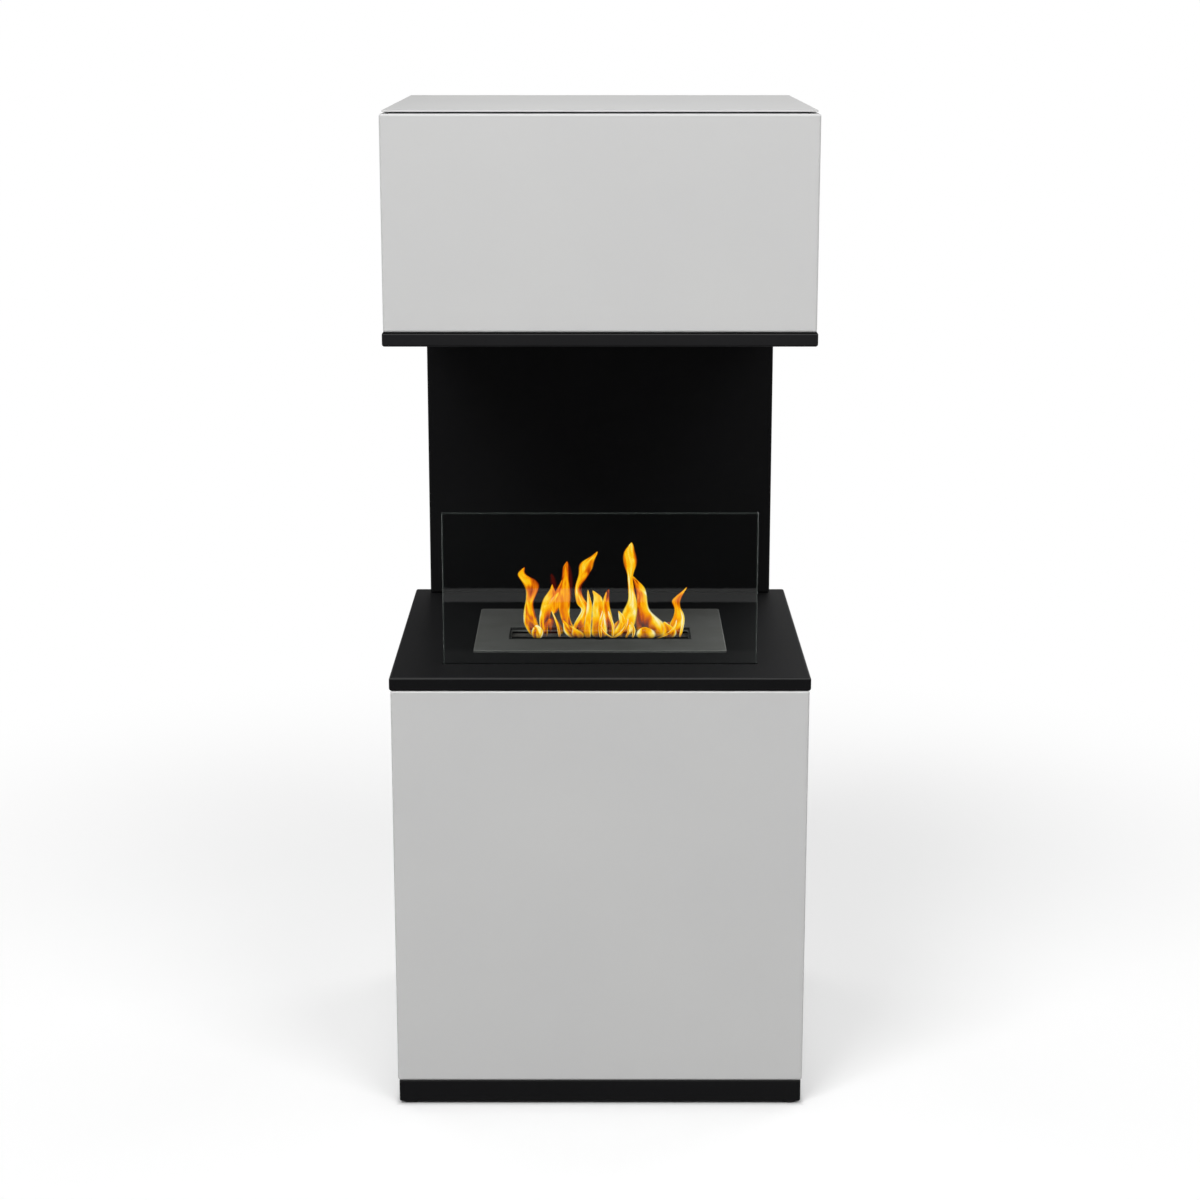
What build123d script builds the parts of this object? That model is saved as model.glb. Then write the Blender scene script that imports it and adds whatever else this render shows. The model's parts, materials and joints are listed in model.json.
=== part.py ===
from build123d import *
import os

# A free-standing bioethanol fireplace: a pale steel cabinet on a black plinth, a black hearth
# plate with a drop-in burner and one glass screen, a black back column, and a pale steel hood.
# Millimetres. X runs to the right, Y to the back and Z up. The origin is on the floor, under
# the middle of the body.

# Overall sizes
body_width = 500.0          # across the pale casings
body_depth = 460.0          # front face to rear line
foot_gap = 3.0              # plinth above the floor
plinth_height = 29.0
cabinet_height = 500.0
plate_height = 16.5         # folded edge of the hearth plate and of the hood plate
fire_opening = 395.0        # hearth plate to hood plate
hood_height = 247.5         # hood panels
shadow_gap = 2.0            # dark joint under the top sheet

# Sheet metal; a bend is the inside radius of a fold
panel_sheet = 1.5           # casings, covers and column
panel_bend = 1.5
panel_return = 18.0         # depth of a casing's folded edges
panel_joint = 0.5           # open joint between two casings
plate_sheet = 2.0           # hearth plate, hood plate and plinth
plate_bend = 1.0
plate_lip = 20.0            # edge turned in under a plate
plate_overhang = 1.5        # plate proud of the casings, each side
plinth_inset = 1.5          # plinth behind the casings, each side
plinth_bend = 0.5
plinth_lip = 25.0
top_sheet = 2.0             # flat sheet on the hood
top_inset = 3.0             # top sheet behind the casings, each side
edge_round = 0.8            # broken edge of flat sheets
cover_inset = 5.0           # rear cover inside the casing's sides
cover_setback = 1.0         # rear covers in front of the rear line

# Clearances
slip = 0.3                  # parts that only stand beside each other
pass_gap = 0.5              # around a tube that passes through a sheet
seat_gap = 1.5              # burner box and glass in their cut-outs

# Corner posts and brackets behind the casings
post_leg = 25.0
post_sheet = 2.0
post_bend = 1.5
bracket_sheet = 2.0
bracket_leg = 18.0          # on the side casing's front fold
bracket_reach = 12.0        # on the front casing's side fold
bracket_height = 30.0
bracket_margin = 45.0       # bracket's middle from the end of its casing
cabinet_brackets = 3        # on each side
hood_brackets = 2

# Uprights and hood arms
tube_width = 30.0           # across X
tube_depth = 20.0           # uprights, along Y
arm_height = 20.0           # hood arms, along Z
tube_wall = 2.0
tube_corner = 1.0
upright_inset = 32.0        # upright axis inside the column's side
upright_end_gap = 4.0       # upright under the top sheet
foot_plate = 40.0
foot_plate_sheet = 3.0
arm_front_gap = 25.0        # arm end behind the hood front

# Back column
column_inset = 20.0         # column inside the casings, each side
column_return = 8.0         # top and bottom folds of the column

# Glass screen
glass_inset = 60.0          # glass inside the casings, each side
glass_thickness = 5.0
glass_height = 187.0        # above the hearth plate
glass_seat = 13.0           # below the top of the hearth plate
glass_setback = 62.0        # front of the body to the glass
glass_corner = 1.5
glass_edge = 0.4            # ground edge
channel_wall = 1.5
gasket_thickness = 1.5

# Burner
burner_length = 313.0       # top plate
burner_depth = 219.0
burner_sheet = 2.5
burner_corner = 4.0
burner_setback = 117.0      # front of the body to the top plate
burner_rim = 7.5            # top plate over the box, each side
box_height = 60.0
box_sheet = 1.5
box_bend = 1.5
pad_headroom = 4.5          # fuel pad under the top plate
pad_gap = 0.5               # fuel pad inside the box, each side
slot_inset = 43.0           # end of the top plate to the slot
slot_width = 55.0
slot_setback = 61.0         # front of the top plate to the slot
slot_corner = 2.0
notch_radius = 7.0          # finger notch in the front edge of the slot

# Burner slider, which closes the slot
slider_sheet = 1.5
slider_gap = 0.5            # under the top plate
slider_end_lap = 4.5        # past each end of the slot
slider_front_lap = 4.0      # past the front of the slot when closed
slider_rear_lap = 5.0       # past the rear of the slot when closed
tab_width = 8.0
tab_rise = 2.5              # pull tab above the top plate
rail_sheet = 1.2
rail_side_gap = 1.0
rail_under_gap = 0.3
rail_lap = 6.0              # rail under the end of the slider
rail_foot = 8.0             # rail flange against the top plate

# Spill tray under the burner
spill_gap = 12.0            # around the burner box
spill_drop = 15.0           # under the burner box
spill_sheet = 1.2
spill_bend = 1.8
spill_flange = 12.0

# Lining of the hood plate
lining_sheet = 1.5
lining_lap = 6.0            # lining on the plate's lip
board_gap = 1.0             # insulation board under the top of the plate

# Spacer under the top sheet
spacer_inset = 11.0
spacer_width = 14.0

# Screws
screw_head = 4.0            # head radius
screw_head_height = 2.2
screw_dome = 0.7            # share of the head's height that is rounded
screw_shank = 1.95          # shank radius
screw_hole_gap = 0.05
screw_length = 8.0
recess_length = 4.2
recess_width = 0.9
recess_depth = 1.1
cover_screw_margin = 32.0   # first screw from the end of its cover
frame_screw_margin = 72.0   # first screw from the end of a side casing
cabinet_cover_screws = 4    # on each side
hood_cover_screws = 3
column_cover_screws = 3

# Glide feet
foot_radius = 11.0
foot_stem = 4.0             # stem radius
foot_hole_gap = 0.1
foot_barb = 5.5             # barb radius
foot_barb_height = 4.0

# Heights of the main joints
cabinet_base = foot_gap + plinth_height
cabinet_top = cabinet_base + cabinet_height
hearth_top = cabinet_top + plate_height
ceiling = hearth_top + fire_opening
hood_base = ceiling + plate_height
hood_rim = hood_base + hood_height
top_low = hood_rim + shadow_gap

# Planes across the depth
front = -body_depth / 2
cover_face = body_depth / 2 - cover_setback
casing_back = cover_face - panel_sheet
side_front = front + panel_return + panel_joint
tube_front = casing_back - tube_depth
column_front = tube_front - panel_sheet
glass_y = front + glass_setback + glass_thickness / 2
burner_y = front + burner_setback + burner_depth / 2
slot_front = front + burner_setback + slot_setback
slot_back = slot_front + slot_width
slider_front = slot_back - slip - slider_sheet

# Widths that follow the body
casing_wall = body_width / 2 - panel_sheet
column_width = body_width - 2 * column_inset
upright_x = column_width / 2 - upright_inset
glass_width = body_width - 2 * glass_inset

# Other shared sizes
channel_gap = (glass_thickness + seat_gap) / 2
channel_length = glass_width + 2 * seat_gap
channel_floor = hearth_top - glass_seat - gasket_thickness
box_length = burner_length - 2 * burner_rim
box_width = burner_depth - 2 * burner_rim
slot_length = burner_length - 2 * slot_inset
slider_half = slot_length / 2 + slider_end_lap
slider_depth = slider_front_lap + slot_width + slider_rear_lap
slider_top = hearth_top - slider_gap
slider_low = slider_top - slider_sheet
floor_top = cabinet_base + 2 * panel_sheet
lining_top = ceiling + plate_sheet + lining_sheet


def block(x, y, z):
    """A box between two limits along each axis."""
    limits = (x, y, z)
    middle = [(low + high) / 2 for low, high in limits]
    return Pos(*middle) * Box(*[high - low for low, high in limits])


def centred(width):
    """The two limits of a width that is centred on the middle."""
    return (-width / 2, width / 2)


def spread(low, high, margin, count):
    """Evenly spaced places, the first and last a margin inside two limits."""
    step = (high - low - 2 * margin) / (count - 1)
    return [low + margin + step * i for i in range(count)]


def both_sides(x, others):
    """Places at plus and minus x, for each pair of the other two coordinates."""
    return [(side * x, y, z) for side in (-1, 1) for y, z in others]


def rounded_plate(length, width, thickness, corner):
    """A flat plate on z = 0 with rounded corners."""
    plate = Pos(0, 0, thickness / 2) * Box(length, width, thickness)
    return fillet(plate.edges().filter_by(Axis.Z), corner)


def open_box(length, width, height, sheet, bend):
    """A sheet box on z = 0, open at the top, with rounded upright corners."""
    outer = rounded_plate(length, width, height, bend + sheet)
    hollow = rounded_plate(length - 2 * sheet, width - 2 * sheet, height, bend)
    return outer - Pos(0, 0, sheet) * hollow


def folded_block(length, width, height, radius, both_ends):
    """A block under z = 0, rounded at its upright edges, its top and perhaps its bottom."""
    shape = Pos(0, 0, -height / 2) * Box(length, width, height)
    faces = shape.faces().sort_by(Axis.Z)
    edges = shape.edges().filter_by(Axis.Z) + faces[-1].edges()
    if both_ends:
        edges += faces[0].edges()
    return fillet(edges, radius)


def folded_tray(length, width, height, sheet, bend, lip=0.0):
    """Sheet folded down on four sides, its face on z = 0, with an optional lip turned in below."""
    outer = folded_block(length, width, height, bend + sheet, lip > 0)
    depth = height - 2 * sheet if lip else height
    inner = folded_block(length - 2 * sheet, width - 2 * sheet, depth, bend, lip > 0)
    tray = outer - Pos(0, 0, -sheet) * inner
    if lip:
        tray -= Pos(0, 0, -height) * Box(length - 2 * lip, width - 2 * lip, 3 * sheet)
    return tray


# Screws and the holes that they pass through

rear_turn = (-90, 0, 0)
upward_turn = (180, 0, 0)
fold_screw_x = body_width / 2 - panel_return / 2
frame_screw_y = spread(side_front, casing_back, frame_screw_margin, 2)


def cover_places(x, low, high, count):
    """Places of a rear cover's screws, in a row down each side."""
    heights = spread(low, high, cover_screw_margin, count)
    return both_sides(x, [(cover_face, z) for z in heights])


cabinet_cover_places = cover_places(fold_screw_x, cabinet_base, cabinet_top, cabinet_cover_screws)
hood_cover_places = cover_places(fold_screw_x, hood_base, hood_rim, hood_cover_screws)
column_cover_places = cover_places(upright_x, hearth_top, ceiling, column_cover_screws)
floor_places = both_sides(fold_screw_x, [(y, floor_top) for y in frame_screw_y])
hearth_places = both_sides(fold_screw_x, [(y, cabinet_top - panel_sheet) for y in frame_screw_y])
hood_places = both_sides(fold_screw_x, [(y, hood_base + panel_sheet) for y in frame_screw_y])


def screw():
    """Pan-head screw with its seat on z = 0, its head above and a cross recess."""
    head = Pos(0, 0, screw_head_height / 2) * Cylinder(screw_head, screw_head_height)
    head = fillet(head.edges().sort_by(Axis.Z)[-1], screw_head_height * screw_dome)
    shank = Pos(0, 0, -screw_length / 2) * Cylinder(screw_shank, screw_length)
    recess = Box(recess_length, recess_width, 2 * recess_depth)
    recess += Box(recess_width, recess_length, 2 * recess_depth)
    return head + shank - Pos(0, 0, screw_head_height) * recess


def screws(places, turn=(0, 0, 0)):
    """One screw at each place, turned from pointing down."""
    return [Pos(*place) * Rot(*turn) * screw() for place in places]


def drilled(part, places, turn=(0, 0, 0)):
    """The part with a hole for each screw."""
    hole = Cylinder(screw_shank + screw_hole_gap, screw_length + 2 * slip)
    hole = Pos(0, 0, -screw_length / 2) * hole
    for place in places:
        part -= Pos(*place) * Rot(*turn) * hole
    return part


# Casings of the cabinet and of the hood, between two heights


def front_casing(low, high):
    """Front casing: a sheet folded back on all four sides."""
    panel = folded_tray(body_width, high - low, panel_return, panel_sheet, panel_bend)
    return Pos(0, front, (low + high) / 2) * Rot(90, 0, 0) * panel


def side_casing(side, low, high):
    """Side casing, folded in on all four sides, behind the front casing."""
    depth = casing_back - side_front
    place = Pos(side * body_width / 2, side_front + depth / 2, (low + high) / 2)
    panel = folded_tray(high - low, depth, panel_return, panel_sheet, panel_bend)
    return place * Rot(0, 90 * side, 0) * panel


def rear_cover(low, high):
    """Flat rear cover on the side casings' rear folds."""
    width = body_width - 2 * cover_inset
    cover = rounded_plate(width, high - low - 2 * panel_joint, panel_sheet, edge_round)
    return Pos(0, casing_back, (low + high) / 2) * Rot(-90, 0, 0) * cover


def corner_rounded(shape, radius):
    """The shape with its upright edge at the greatest X and the least Y rounded."""
    edges = shape.edges().filter_by(Axis.Z)
    return fillet(edges.sort_by(lambda edge: edge.center().X - edge.center().Y)[-1], radius)


def corner_post(side, end, low, high):
    """Bent angle post in a corner of a side casing; end is -1 at the front and 1 at the back."""
    corner_y = side_front + panel_sheet if end < 0 else panel_sheet - casing_back
    leg = block((casing_wall - post_leg, casing_wall), (corner_y, corner_y + post_leg), (low, high))
    post = corner_rounded(leg, post_sheet + post_bend)
    post -= corner_rounded(Pos(-post_sheet, post_sheet, 0) * leg, post_bend)
    if end > 0:
        post = mirror(post, Plane.XZ)
    return post if side > 0 else mirror(post, Plane.YZ)


def front_brackets(low, high, count):
    """Angles that hold the front casing's side folds to the side casings' front folds."""
    brackets = []
    for height in spread(low, high, bracket_margin, count):
        z = (height - bracket_height / 2, height + bracket_height / 2)
        wall_x = (casing_wall - bracket_sheet, casing_wall)
        reach = block(wall_x, (side_front - bracket_reach, side_front), z)
        leg_x = (casing_wall - bracket_leg, casing_wall)
        leg = block(leg_x, (side_front - bracket_sheet, side_front), z)
        brackets += [reach + leg, mirror(reach + leg, Plane.YZ)]
    return brackets


# Frame tubes


def rect_tube(x, y, z, axis):
    """Rectangular tube between limits, rounded along its axis and open at both ends."""
    along = (Axis.X, Axis.Y, Axis.Z).index(axis)
    inner = [
        limits if i == along else (limits[0] + tube_wall, limits[1] - tube_wall)
        for i, limits in enumerate((x, y, z))
    ]
    outer = fillet(block(x, y, z).edges().filter_by(axis), tube_corner)
    return outer - block(*inner)


def upright_limits(side, grow=0.0):
    """Limits across X and Y of an upright, grown by a clearance."""
    middle = side * upright_x
    half = tube_width / 2 + grow
    return (middle - half, middle + half), (tube_front - grow, casing_back + grow)


def upright(side):
    """Tube from the cabinet floor up into the hood, on a welded foot plate."""
    x, y = upright_limits(side)
    tube = rect_tube(x, y, (floor_top, top_low - upright_end_gap), Axis.Z)
    middle = side * upright_x
    foot = block(
        (middle - foot_plate / 2, middle + foot_plate / 2),
        (casing_back - foot_plate, casing_back),
        (floor_top, floor_top + foot_plate_sheet),
    )
    return tube + foot


def around_uprights(part, low, high):
    """The part with clearance for both uprights between two heights."""
    for side in (-1, 1):
        part -= block(*upright_limits(side, pass_gap), (low, high))
    return part


def hood_arm(side):
    """Tube that runs forward from the upright and carries the hood."""
    x = upright_limits(side)[0]
    return rect_tube(x, (front + arm_front_gap, tube_front), (hood_base, hood_base + arm_height), Axis.Y)


# Plinth and floor

foot_inset = (plinth_bend + plate_sheet + plinth_lip) / 2
foot_x = body_width / 2 - plinth_inset - foot_inset
foot_y = body_depth / 2 - plinth_inset - foot_inset
foot_places = [(x, y) for x in (-foot_x, foot_x) for y in (-foot_y, foot_y)]


def plinth():
    """Black folded ring with a lip turned in at the top and at the bottom."""
    width = body_width - 2 * plinth_inset
    depth = body_depth - 2 * plinth_inset
    ring = folded_tray(width, depth, plinth_height, plate_sheet, plinth_bend, plinth_lip)
    ring -= Box(width - 2 * plinth_lip, depth - 2 * plinth_lip, 3 * plate_sheet)
    ring = Pos(0, 0, cabinet_base) * ring
    for x, y in foot_places:
        ring -= Pos(x, y, foot_gap) * Cylinder(foot_stem + foot_hole_gap, 3 * plate_sheet)
    return drilled(ring, floor_places)


def glide_foot():
    """Rubber glide: a disc under the plinth, with a stem and a barb through its lower lip."""
    disc = Pos(0, 0, foot_gap / 2) * Cylinder(foot_radius, foot_gap)
    disc = fillet(disc.edges().sort_by(Axis.Z)[0], edge_round)
    stem_top = foot_gap + plate_sheet
    stem = Pos(0, 0, stem_top / 2) * Cylinder(foot_stem, stem_top)
    barb = Pos(0, 0, stem_top + foot_barb_height / 2) * Cone(foot_barb, foot_stem / 2, foot_barb_height)
    return disc + stem + barb


def cabinet_floor():
    """Flat floor of the cabinet, on the side casings' lower folds."""
    bend_room = panel_sheet + panel_bend + slip
    x = centred(body_width - 2 * bend_room)
    y = (side_front + bend_room, casing_back - bend_room)
    return drilled(block(x, y, (floor_top - panel_sheet, floor_top)), floor_places)


# Hearth plate and hood plate


def plate_blank(top):
    """Black plate folded down on four sides and in underneath, with holes for the uprights."""
    width = body_width + 2 * plate_overhang
    depth = body_depth + 2 * plate_overhang
    tray = folded_tray(width, depth, plate_height, plate_sheet, plate_bend, plate_lip)
    return around_uprights(Pos(0, 0, top) * tray, top - 2 * plate_height, top + plate_height)


def hearth_plate():
    """Black plate with the cut-out for the burner and the slot for the glass."""
    hole = rounded_plate(
        box_length + 2 * seat_gap,
        box_width + 2 * seat_gap,
        2 * plate_sheet,
        box_sheet + box_bend + seat_gap,
    )
    plate = plate_blank(hearth_top) - Pos(0, burner_y, hearth_top - 1.5 * plate_sheet) * hole
    glass_slot = block(
        centred(channel_length),
        (glass_y - channel_gap, glass_y + channel_gap),
        (hearth_top - 2 * plate_sheet, hearth_top + plate_sheet),
    )
    return drilled(plate - glass_slot, hearth_places, upward_turn)


def lining(low, high):
    """A flat layer inside the hood plate, on the plate's lip and around the uprights."""
    inset = plate_lip - plate_overhang - lining_lap
    layer = block(centred(body_width - 2 * inset), centred(body_depth - 2 * inset), (low, high))
    return around_uprights(layer, low - plate_height, high + plate_height)


# Glass screen


def glass_channel():
    """Steel channel welded under the slot, which holds the foot of the glass."""
    half = channel_gap + channel_wall
    x = centred(channel_length + 2 * channel_wall)
    z = (channel_floor - channel_wall, hearth_top - plate_sheet)
    hollow = (centred(channel_length), (glass_y - channel_gap, glass_y + channel_gap))
    return block(x, (glass_y - half, glass_y + half), z) - block(*hollow, (channel_floor, hearth_top))


def glass_gasket():
    """Silicone strip on the floor of the channel."""
    y = (glass_y - channel_gap, glass_y + channel_gap)
    return block(centred(glass_width), y, (channel_floor, channel_floor + gasket_thickness))


def glass_pane():
    """One toughened pane with rounded corners and a ground top edge."""
    y = (glass_y - glass_thickness / 2, glass_y + glass_thickness / 2)
    pane = block(centred(glass_width), y, (hearth_top - glass_seat, hearth_top + glass_height))
    pane = fillet(pane.edges().filter_by(Axis.Y), glass_corner)
    return chamfer(pane.faces().sort_by(Axis.Z)[-1].edges(), glass_edge)


# Burner


def burner_top():
    """Brushed steel top plate with the flame slot and its finger notch."""
    plate = rounded_plate(burner_length, burner_depth, burner_sheet, burner_corner)
    plate = fillet(plate.faces().sort_by(Axis.Z)[-1].edges(), edge_round)
    slot = rounded_plate(slot_length, slot_width, 3 * burner_sheet, slot_corner)
    notch = Pos(0, -slot_width / 2, 1.5 * burner_sheet) * Cylinder(notch_radius, 3 * burner_sheet)
    slot = Pos(0, slot_front + slot_width / 2, hearth_top - burner_sheet) * (slot + notch)
    return Pos(0, burner_y, hearth_top) * plate - slot


def burner_box():
    """Steel fuel box under the top plate."""
    box = open_box(box_length, box_width, box_height, box_sheet, box_bend)
    return Pos(0, burner_y, hearth_top - box_height) * box


def fuel_pad():
    """Ceramic fibre pad that soaks up the fuel."""
    inset = 2 * (box_sheet + pad_gap)
    height = box_height - box_sheet - pad_headroom
    pad = rounded_plate(box_length - inset, box_width - inset, height, box_bend)
    return Pos(0, burner_y, hearth_top - box_height + box_sheet) * pad


def burner_slider():
    """Sliding lid under the top plate, fully open, with its pull tab turned up at the front."""
    y = (slider_front, slider_front + slider_depth)
    plate = block(centred(2 * slider_half), y, (slider_low, slider_top))
    tab_top = hearth_top + burner_sheet + tab_rise
    return plate + block(
        centred(tab_width), (slider_front, slider_front + slider_sheet), (slider_low, tab_top)
    )


def slider_rails():
    """Z-shaped guides under the top plate, round both ends of the slider."""
    y = (
        slot_front - slider_front_lap - rail_side_gap,
        slider_front + slider_depth + rail_side_gap,
    )
    web_in = slider_half + rail_side_gap
    web_out = web_in + rail_sheet
    lip_top = slider_low - rail_under_gap
    rail = block((web_in, web_out), y, (lip_top - rail_sheet, hearth_top))
    rail += block((slider_half - rail_lap, web_out), y, (lip_top - rail_sheet, lip_top))
    rail += block((web_in, web_out + rail_foot), y, (hearth_top - rail_sheet, hearth_top))
    return [mirror(rail, Plane.YZ), rail]


def spill_tray():
    """Tray around the burner box, hung under the hearth plate, that catches spilt fuel."""
    length = box_length + 2 * spill_gap
    width = box_width + 2 * spill_gap
    height = box_height + spill_drop - plate_sheet
    tray = open_box(length, width, height, spill_sheet, spill_bend)
    flange = rounded_plate(
        length + 2 * spill_flange, width + 2 * spill_flange, spill_sheet, spill_flange
    )
    mouth = rounded_plate(
        length - 2 * spill_sheet, width - 2 * spill_sheet, spill_sheet, spill_bend
    )
    tray += Pos(0, 0, height - spill_sheet) * (flange - mouth)
    return Pos(0, burner_y, hearth_top - plate_sheet - height) * tray


# Back column

column_head = ceiling - slip


def column_skin():
    """Front skin of the column, folded back at the sides and a little at top and bottom."""
    height = column_head - hearth_top
    skin = folded_tray(column_width, height, cover_face - column_front, panel_sheet, panel_bend)
    skin = Pos(0, column_front, (hearth_top + column_head) / 2) * Rot(90, 0, 0) * skin
    fold = panel_sheet + panel_bend
    for z in ((hearth_top, hearth_top + fold), (column_head - fold, column_head)):
        rear = (column_front + column_return, cover_face)
        skin -= block(centred(column_width - 2 * fold), rear, z)
        for side in (-1, 1):
            skin -= block(upright_limits(side, pass_gap)[0], (tube_front, cover_face), z)
    return skin


def column_cover():
    """Flat rear cover of the column, between the skin's side folds and on the uprights."""
    height = column_head - hearth_top - 2 * (panel_sheet + panel_bend + slip)
    cover = rounded_plate(column_width - 2 * (panel_sheet + slip), height, panel_sheet, edge_round)
    cover = Pos(0, casing_back, (hearth_top + column_head) / 2) * Rot(-90, 0, 0) * cover
    return drilled(cover, column_cover_places, rear_turn)


# Top of the hood


def top_spacer():
    """Dark ring that holds the top sheet clear of the hood panels."""
    outer_x = body_width - 2 * spacer_inset
    outer_y = body_depth - 2 * spacer_inset
    ring = Box(outer_x, outer_y, shadow_gap)
    ring -= Box(outer_x - 2 * spacer_width, outer_y - 2 * spacer_width, 2 * shadow_gap)
    return Pos(0, 0, hood_rim + shadow_gap / 2) * ring


def top_panel():
    """Flat pale sheet on top of the hood, with broken edges."""
    width = body_width - 2 * top_inset
    depth = body_depth - 2 * top_inset
    sheet = rounded_plate(width, depth, top_sheet, panel_sheet + panel_bend)
    sheet = fillet(sheet.faces().sort_by(Axis.Z)[-1].edges(), edge_round)
    return Pos(0, 0, top_low) * sheet


parts = {
    "plinth": plinth(),
    "glide_feet": [Pos(x, y, 0) * glide_foot() for x, y in foot_places],
    "cabinet_floor": cabinet_floor(),
    "cabinet_front": front_casing(cabinet_base, cabinet_top),
    "cabinet_front_brackets": front_brackets(cabinet_base, cabinet_top, cabinet_brackets),
    "cabinet_rear_cover": drilled(
        rear_cover(cabinet_base, cabinet_top), cabinet_cover_places, rear_turn
    ),
    "hearth_plate": hearth_plate(),
    "spill_tray": spill_tray(),
    "glass_channel": glass_channel(),
    "glass_gasket": glass_gasket(),
    "glass_pane": glass_pane(),
    "burner_top": burner_top(),
    "burner_box": burner_box(),
    "fuel_pad": fuel_pad(),
    "slider_rails": slider_rails(),
    "burner_slider": burner_slider(),
    "column_skin": column_skin(),
    "column_cover": column_cover(),
    "hood_plate": drilled(plate_blank(hood_base), hood_places),
    "ceiling_sheet": lining(lining_top - lining_sheet, lining_top),
    "heat_board": lining(lining_top, hood_base - plate_sheet - board_gap),
    "hood_front": front_casing(hood_base, hood_rim),
    "hood_front_brackets": front_brackets(hood_base, hood_rim, hood_brackets),
    "hood_rear_cover": drilled(rear_cover(hood_base, hood_rim), hood_cover_places, rear_turn),
    "top_spacer": top_spacer(),
    "top_panel": top_panel(),
    "cabinet_cover_screws": screws(cabinet_cover_places, rear_turn),
    "hood_cover_screws": screws(hood_cover_places, rear_turn),
    "column_cover_screws": screws(column_cover_places, rear_turn),
    "floor_screws": screws(floor_places),
    "hearth_screws": screws(hearth_places, upward_turn),
    "hood_screws": screws(hood_places),
}

post_gap = panel_sheet + panel_bend
cabinet_post_low = cabinet_base + max(post_gap, 2 * panel_sheet)
for side_name, side in (("left", -1), ("right", 1)):
    casing = side_casing(side, cabinet_base, cabinet_top)
    casing = drilled(drilled(casing, floor_places), hearth_places, upward_turn)
    parts[f"cabinet_{side_name}"] = drilled(casing, cabinet_cover_places, rear_turn)
    casing = drilled(side_casing(side, hood_base, hood_rim), hood_places)
    parts[f"hood_{side_name}"] = drilled(casing, hood_cover_places, rear_turn)
    parts[f"upright_{side_name}"] = drilled(upright(side), column_cover_places, rear_turn)
    parts[f"hood_arm_{side_name}"] = hood_arm(side)
    for end_name, end in (("front", -1), ("rear", 1)):
        post = corner_post(side, end, cabinet_post_low, cabinet_top - post_gap)
        post = drilled(post, cabinet_cover_places, rear_turn)
        parts[f"cabinet_post_{end_name}_{side_name}"] = post
        post = corner_post(side, end, hood_base + post_gap, hood_rim - post_gap)
        post = drilled(post, hood_cover_places, rear_turn)
        parts[f"hood_post_{end_name}_{side_name}"] = post

os.makedirs("parts", exist_ok=True)
for name, shape in parts.items():
    group = shape if isinstance(shape, list) else [shape]
    solids = [solid for piece in group for solid in piece.solids()]
    export_step(Compound(children=solids), f"parts/{name}.step")
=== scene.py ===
import json
import math

import bpy
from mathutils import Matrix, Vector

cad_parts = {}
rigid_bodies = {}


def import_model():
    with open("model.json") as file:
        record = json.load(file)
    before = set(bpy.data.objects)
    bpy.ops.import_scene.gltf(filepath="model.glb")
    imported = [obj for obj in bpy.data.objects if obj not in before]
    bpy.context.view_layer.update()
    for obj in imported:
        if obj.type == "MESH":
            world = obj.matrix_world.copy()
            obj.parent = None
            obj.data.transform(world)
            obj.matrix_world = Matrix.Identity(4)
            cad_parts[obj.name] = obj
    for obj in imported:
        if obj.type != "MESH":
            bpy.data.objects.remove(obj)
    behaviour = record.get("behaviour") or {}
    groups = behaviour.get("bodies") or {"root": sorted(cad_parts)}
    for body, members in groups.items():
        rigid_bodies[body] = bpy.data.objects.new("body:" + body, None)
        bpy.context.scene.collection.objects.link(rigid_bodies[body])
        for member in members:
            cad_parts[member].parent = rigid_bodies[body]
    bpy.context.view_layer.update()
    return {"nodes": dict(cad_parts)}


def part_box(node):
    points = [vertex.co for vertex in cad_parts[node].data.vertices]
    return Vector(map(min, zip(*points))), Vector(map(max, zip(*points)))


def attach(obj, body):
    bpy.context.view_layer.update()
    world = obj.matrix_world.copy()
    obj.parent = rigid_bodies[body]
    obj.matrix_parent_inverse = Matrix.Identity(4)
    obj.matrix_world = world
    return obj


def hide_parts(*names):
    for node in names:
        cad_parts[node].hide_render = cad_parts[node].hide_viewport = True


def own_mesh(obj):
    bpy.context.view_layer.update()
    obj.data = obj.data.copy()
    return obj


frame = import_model()
mm = 0.001


# Studio: a matt white floor under white surroundings. Cameras, mirrors and glass see them
# pure white; a greyer world is what lights the object, so that pale steel keeps its tone.


def linear(hex_colour):
    """An sRGB hex colour as linear red, green, blue and alpha."""
    values = [int(hex_colour[i : i + 2], 16) / 255 for i in (1, 3, 5)]
    return [v / 12.92 if v <= 0.04045 else ((v + 0.055) / 1.055) ** 2.4 for v in values] + [1.0]


def empty_tree(owner):
    """The owner's node tree with nothing in it."""
    owner.use_nodes = True
    owner.node_tree.nodes.clear()
    return owner.node_tree


def add(tree, kind, inputs=(), **settings):
    """Adds a node. Each input is a value, or an output of another node that feeds it."""
    new = tree.nodes.new(kind)
    for name, value in settings.items():
        setattr(new, name, value)
    for name, value in dict(inputs).items():
        if isinstance(value, bpy.types.NodeSocket):
            tree.links.new(value, new.inputs[name])
        else:
            new.inputs[name].default_value = value
    return new


def deselect():
    """Leaves nothing selected, so that the next operator acts on what is added next."""
    bpy.ops.object.select_all(action="DESELECT")


def seen_directly(tree):
    """1 for rays from the camera, a mirror or glass, and 0 for light that spreads."""
    path = add(tree, "ShaderNodeLightPath")
    ray = path.outputs["Is Camera Ray"]
    for other in ("Is Glossy Ray", "Is Transmission Ray"):
        both = {0: ray, 1: path.outputs[other]}
        ray = add(tree, "ShaderNodeMath", both, operation="MAXIMUM").outputs[0]
    return ray


world_light = 0.32               # strength of the surroundings as a light

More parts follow.
